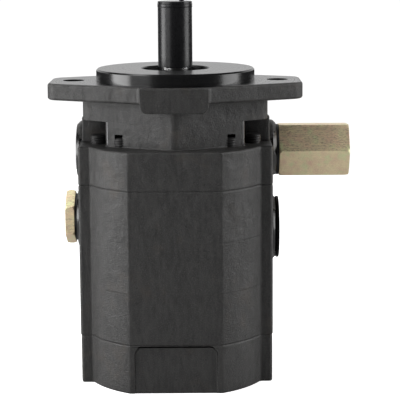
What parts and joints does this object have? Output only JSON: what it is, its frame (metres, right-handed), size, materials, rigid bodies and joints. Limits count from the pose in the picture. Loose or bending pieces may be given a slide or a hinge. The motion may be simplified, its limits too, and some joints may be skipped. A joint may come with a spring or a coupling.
{
  "type": "log splitter pump",
  "caption": "Two-stage gear pump for a log splitter: cast body, two-bolt pilot flange, keyed shaft under a sleeve, hexagon outlet adapter, inlet port with a cap.",
  "frame": {"origin": "centre of the mounting face, on the drive shaft's axis", "axes": "+Z out along the drive shaft, +X out of the outlet and inlet ports, -Y the flat front of the body"},
  "size_m": [0.1577, 0.1226, 0.1983],
  "materials": {
    "black_casting": "satin black paint on sand casting",
    "ground_steel": "ground",
    "gear_steel": "machined",
    "spring_steel": "oiled",
    "black_oxide_steel": "black oxide",
    "yellow_zinc": "yellow zinc plating",
    "bearing_bronze": "machined bronze",
    "black_rubber": "moulded",
    "black_plastic": "moulded, glossy"
  },
  "bodies": {
    "pump_body": {"front_housing": "black_casting", "centre_housing": "black_casting", "rear_cover": "black_casting", "shaft_seal": "black_rubber", "seal_retaining_ring": "spring_steel", "tie_bolts": "black_oxide_steel", "front_seam_dowels": "ground_steel", "rear_seam_dowels": "ground_steel", "front_seam_ring": "black_rubber", "rear_seam_ring": "black_rubber", "outlet_adapter": "yellow_zinc", "valve_plug": "yellow_zinc", "adapter_seal_ring": "black_rubber", "plug_seal_ring": "black_rubber", "check_spring": "spring_steel", "unloading_spring": "spring_steel", "drive_bushing_front": "bearing_bronze", "drive_bushing_centre_upper": "bearing_bronze", "drive_bushing_centre_lower": "bearing_bronze", "drive_bushing_rear": "bearing_bronze", "driven_bushing_front": "bearing_bronze", "driven_bushing_centre_upper": "bearing_bronze", "driven_bushing_centre_lower": "bearing_bronze", "driven_bushing_rear": "bearing_bronze", "large_wear_plate_front": "bearing_bronze", "large_wear_plate_rear": "bearing_bronze", "small_wear_plate_front": "bearing_bronze", "small_wear_plate_rear": "bearing_bronze"},
    "drive_set": {"drive_shaft": "ground_steel", "large_drive_gear": "gear_steel", "small_drive_gear": "gear_steel", "drive_gear_keys": "ground_steel"},
    "driven_set": {"driven_shaft": "ground_steel", "large_driven_gear": "gear_steel", "small_driven_gear": "gear_steel", "driven_gear_keys": "ground_steel"},
    "sleeve": {"shaft_sleeve": "black_plastic"},
    "cap": {"inlet_cap": "black_plastic"},
    "check_valve": {"check_poppet": "gear_steel"},
    "unloading_valve": {"unloading_piston": "gear_steel"}
  },
  "joints": [
    {"name": "drive_rotation", "type": "hinge", "parent": "pump_body", "child": "drive_set", "pos_m": [0, 0, 0], "axis": [0, 0, 1], "continuous": true},
    {"name": "driven_rotation", "type": "hinge", "parent": "pump_body", "child": "driven_set", "pos_m": [0, 0.036, 0], "axis": [0, 0, 1], "continuous": true},
    {"name": "sleeve_removal", "type": "slide", "parent": "drive_set", "child": "sleeve", "axis": [0, 0, 1], "range_m": [0, 0.036]},
    {"name": "inlet_cap_removal", "type": "slide", "parent": "pump_body", "child": "cap", "axis": [1, 0, 0], "range_m": [0, 0.014]},
    {"name": "check_poppet_lift", "type": "slide", "parent": "pump_body", "child": "check_valve", "axis": [1, 0, 0], "range_m": [0, 0.004], "stiffness_N_per_m": 300, "springref_m": -0.004, "deforming": ["check_spring"]},
    {"name": "unloading_piston_lift", "type": "slide", "parent": "pump_body", "child": "unloading_valve", "axis": [-1, 0, 0], "range_m": [0, 0.004], "stiffness_N_per_m": 600, "springref_m": -0.004, "deforming": ["unloading_spring"]}
  ],
  "couplings": [
    {"joint": "driven_rotation", "follows": "drive_rotation", "ratio": -1}
  ]
}
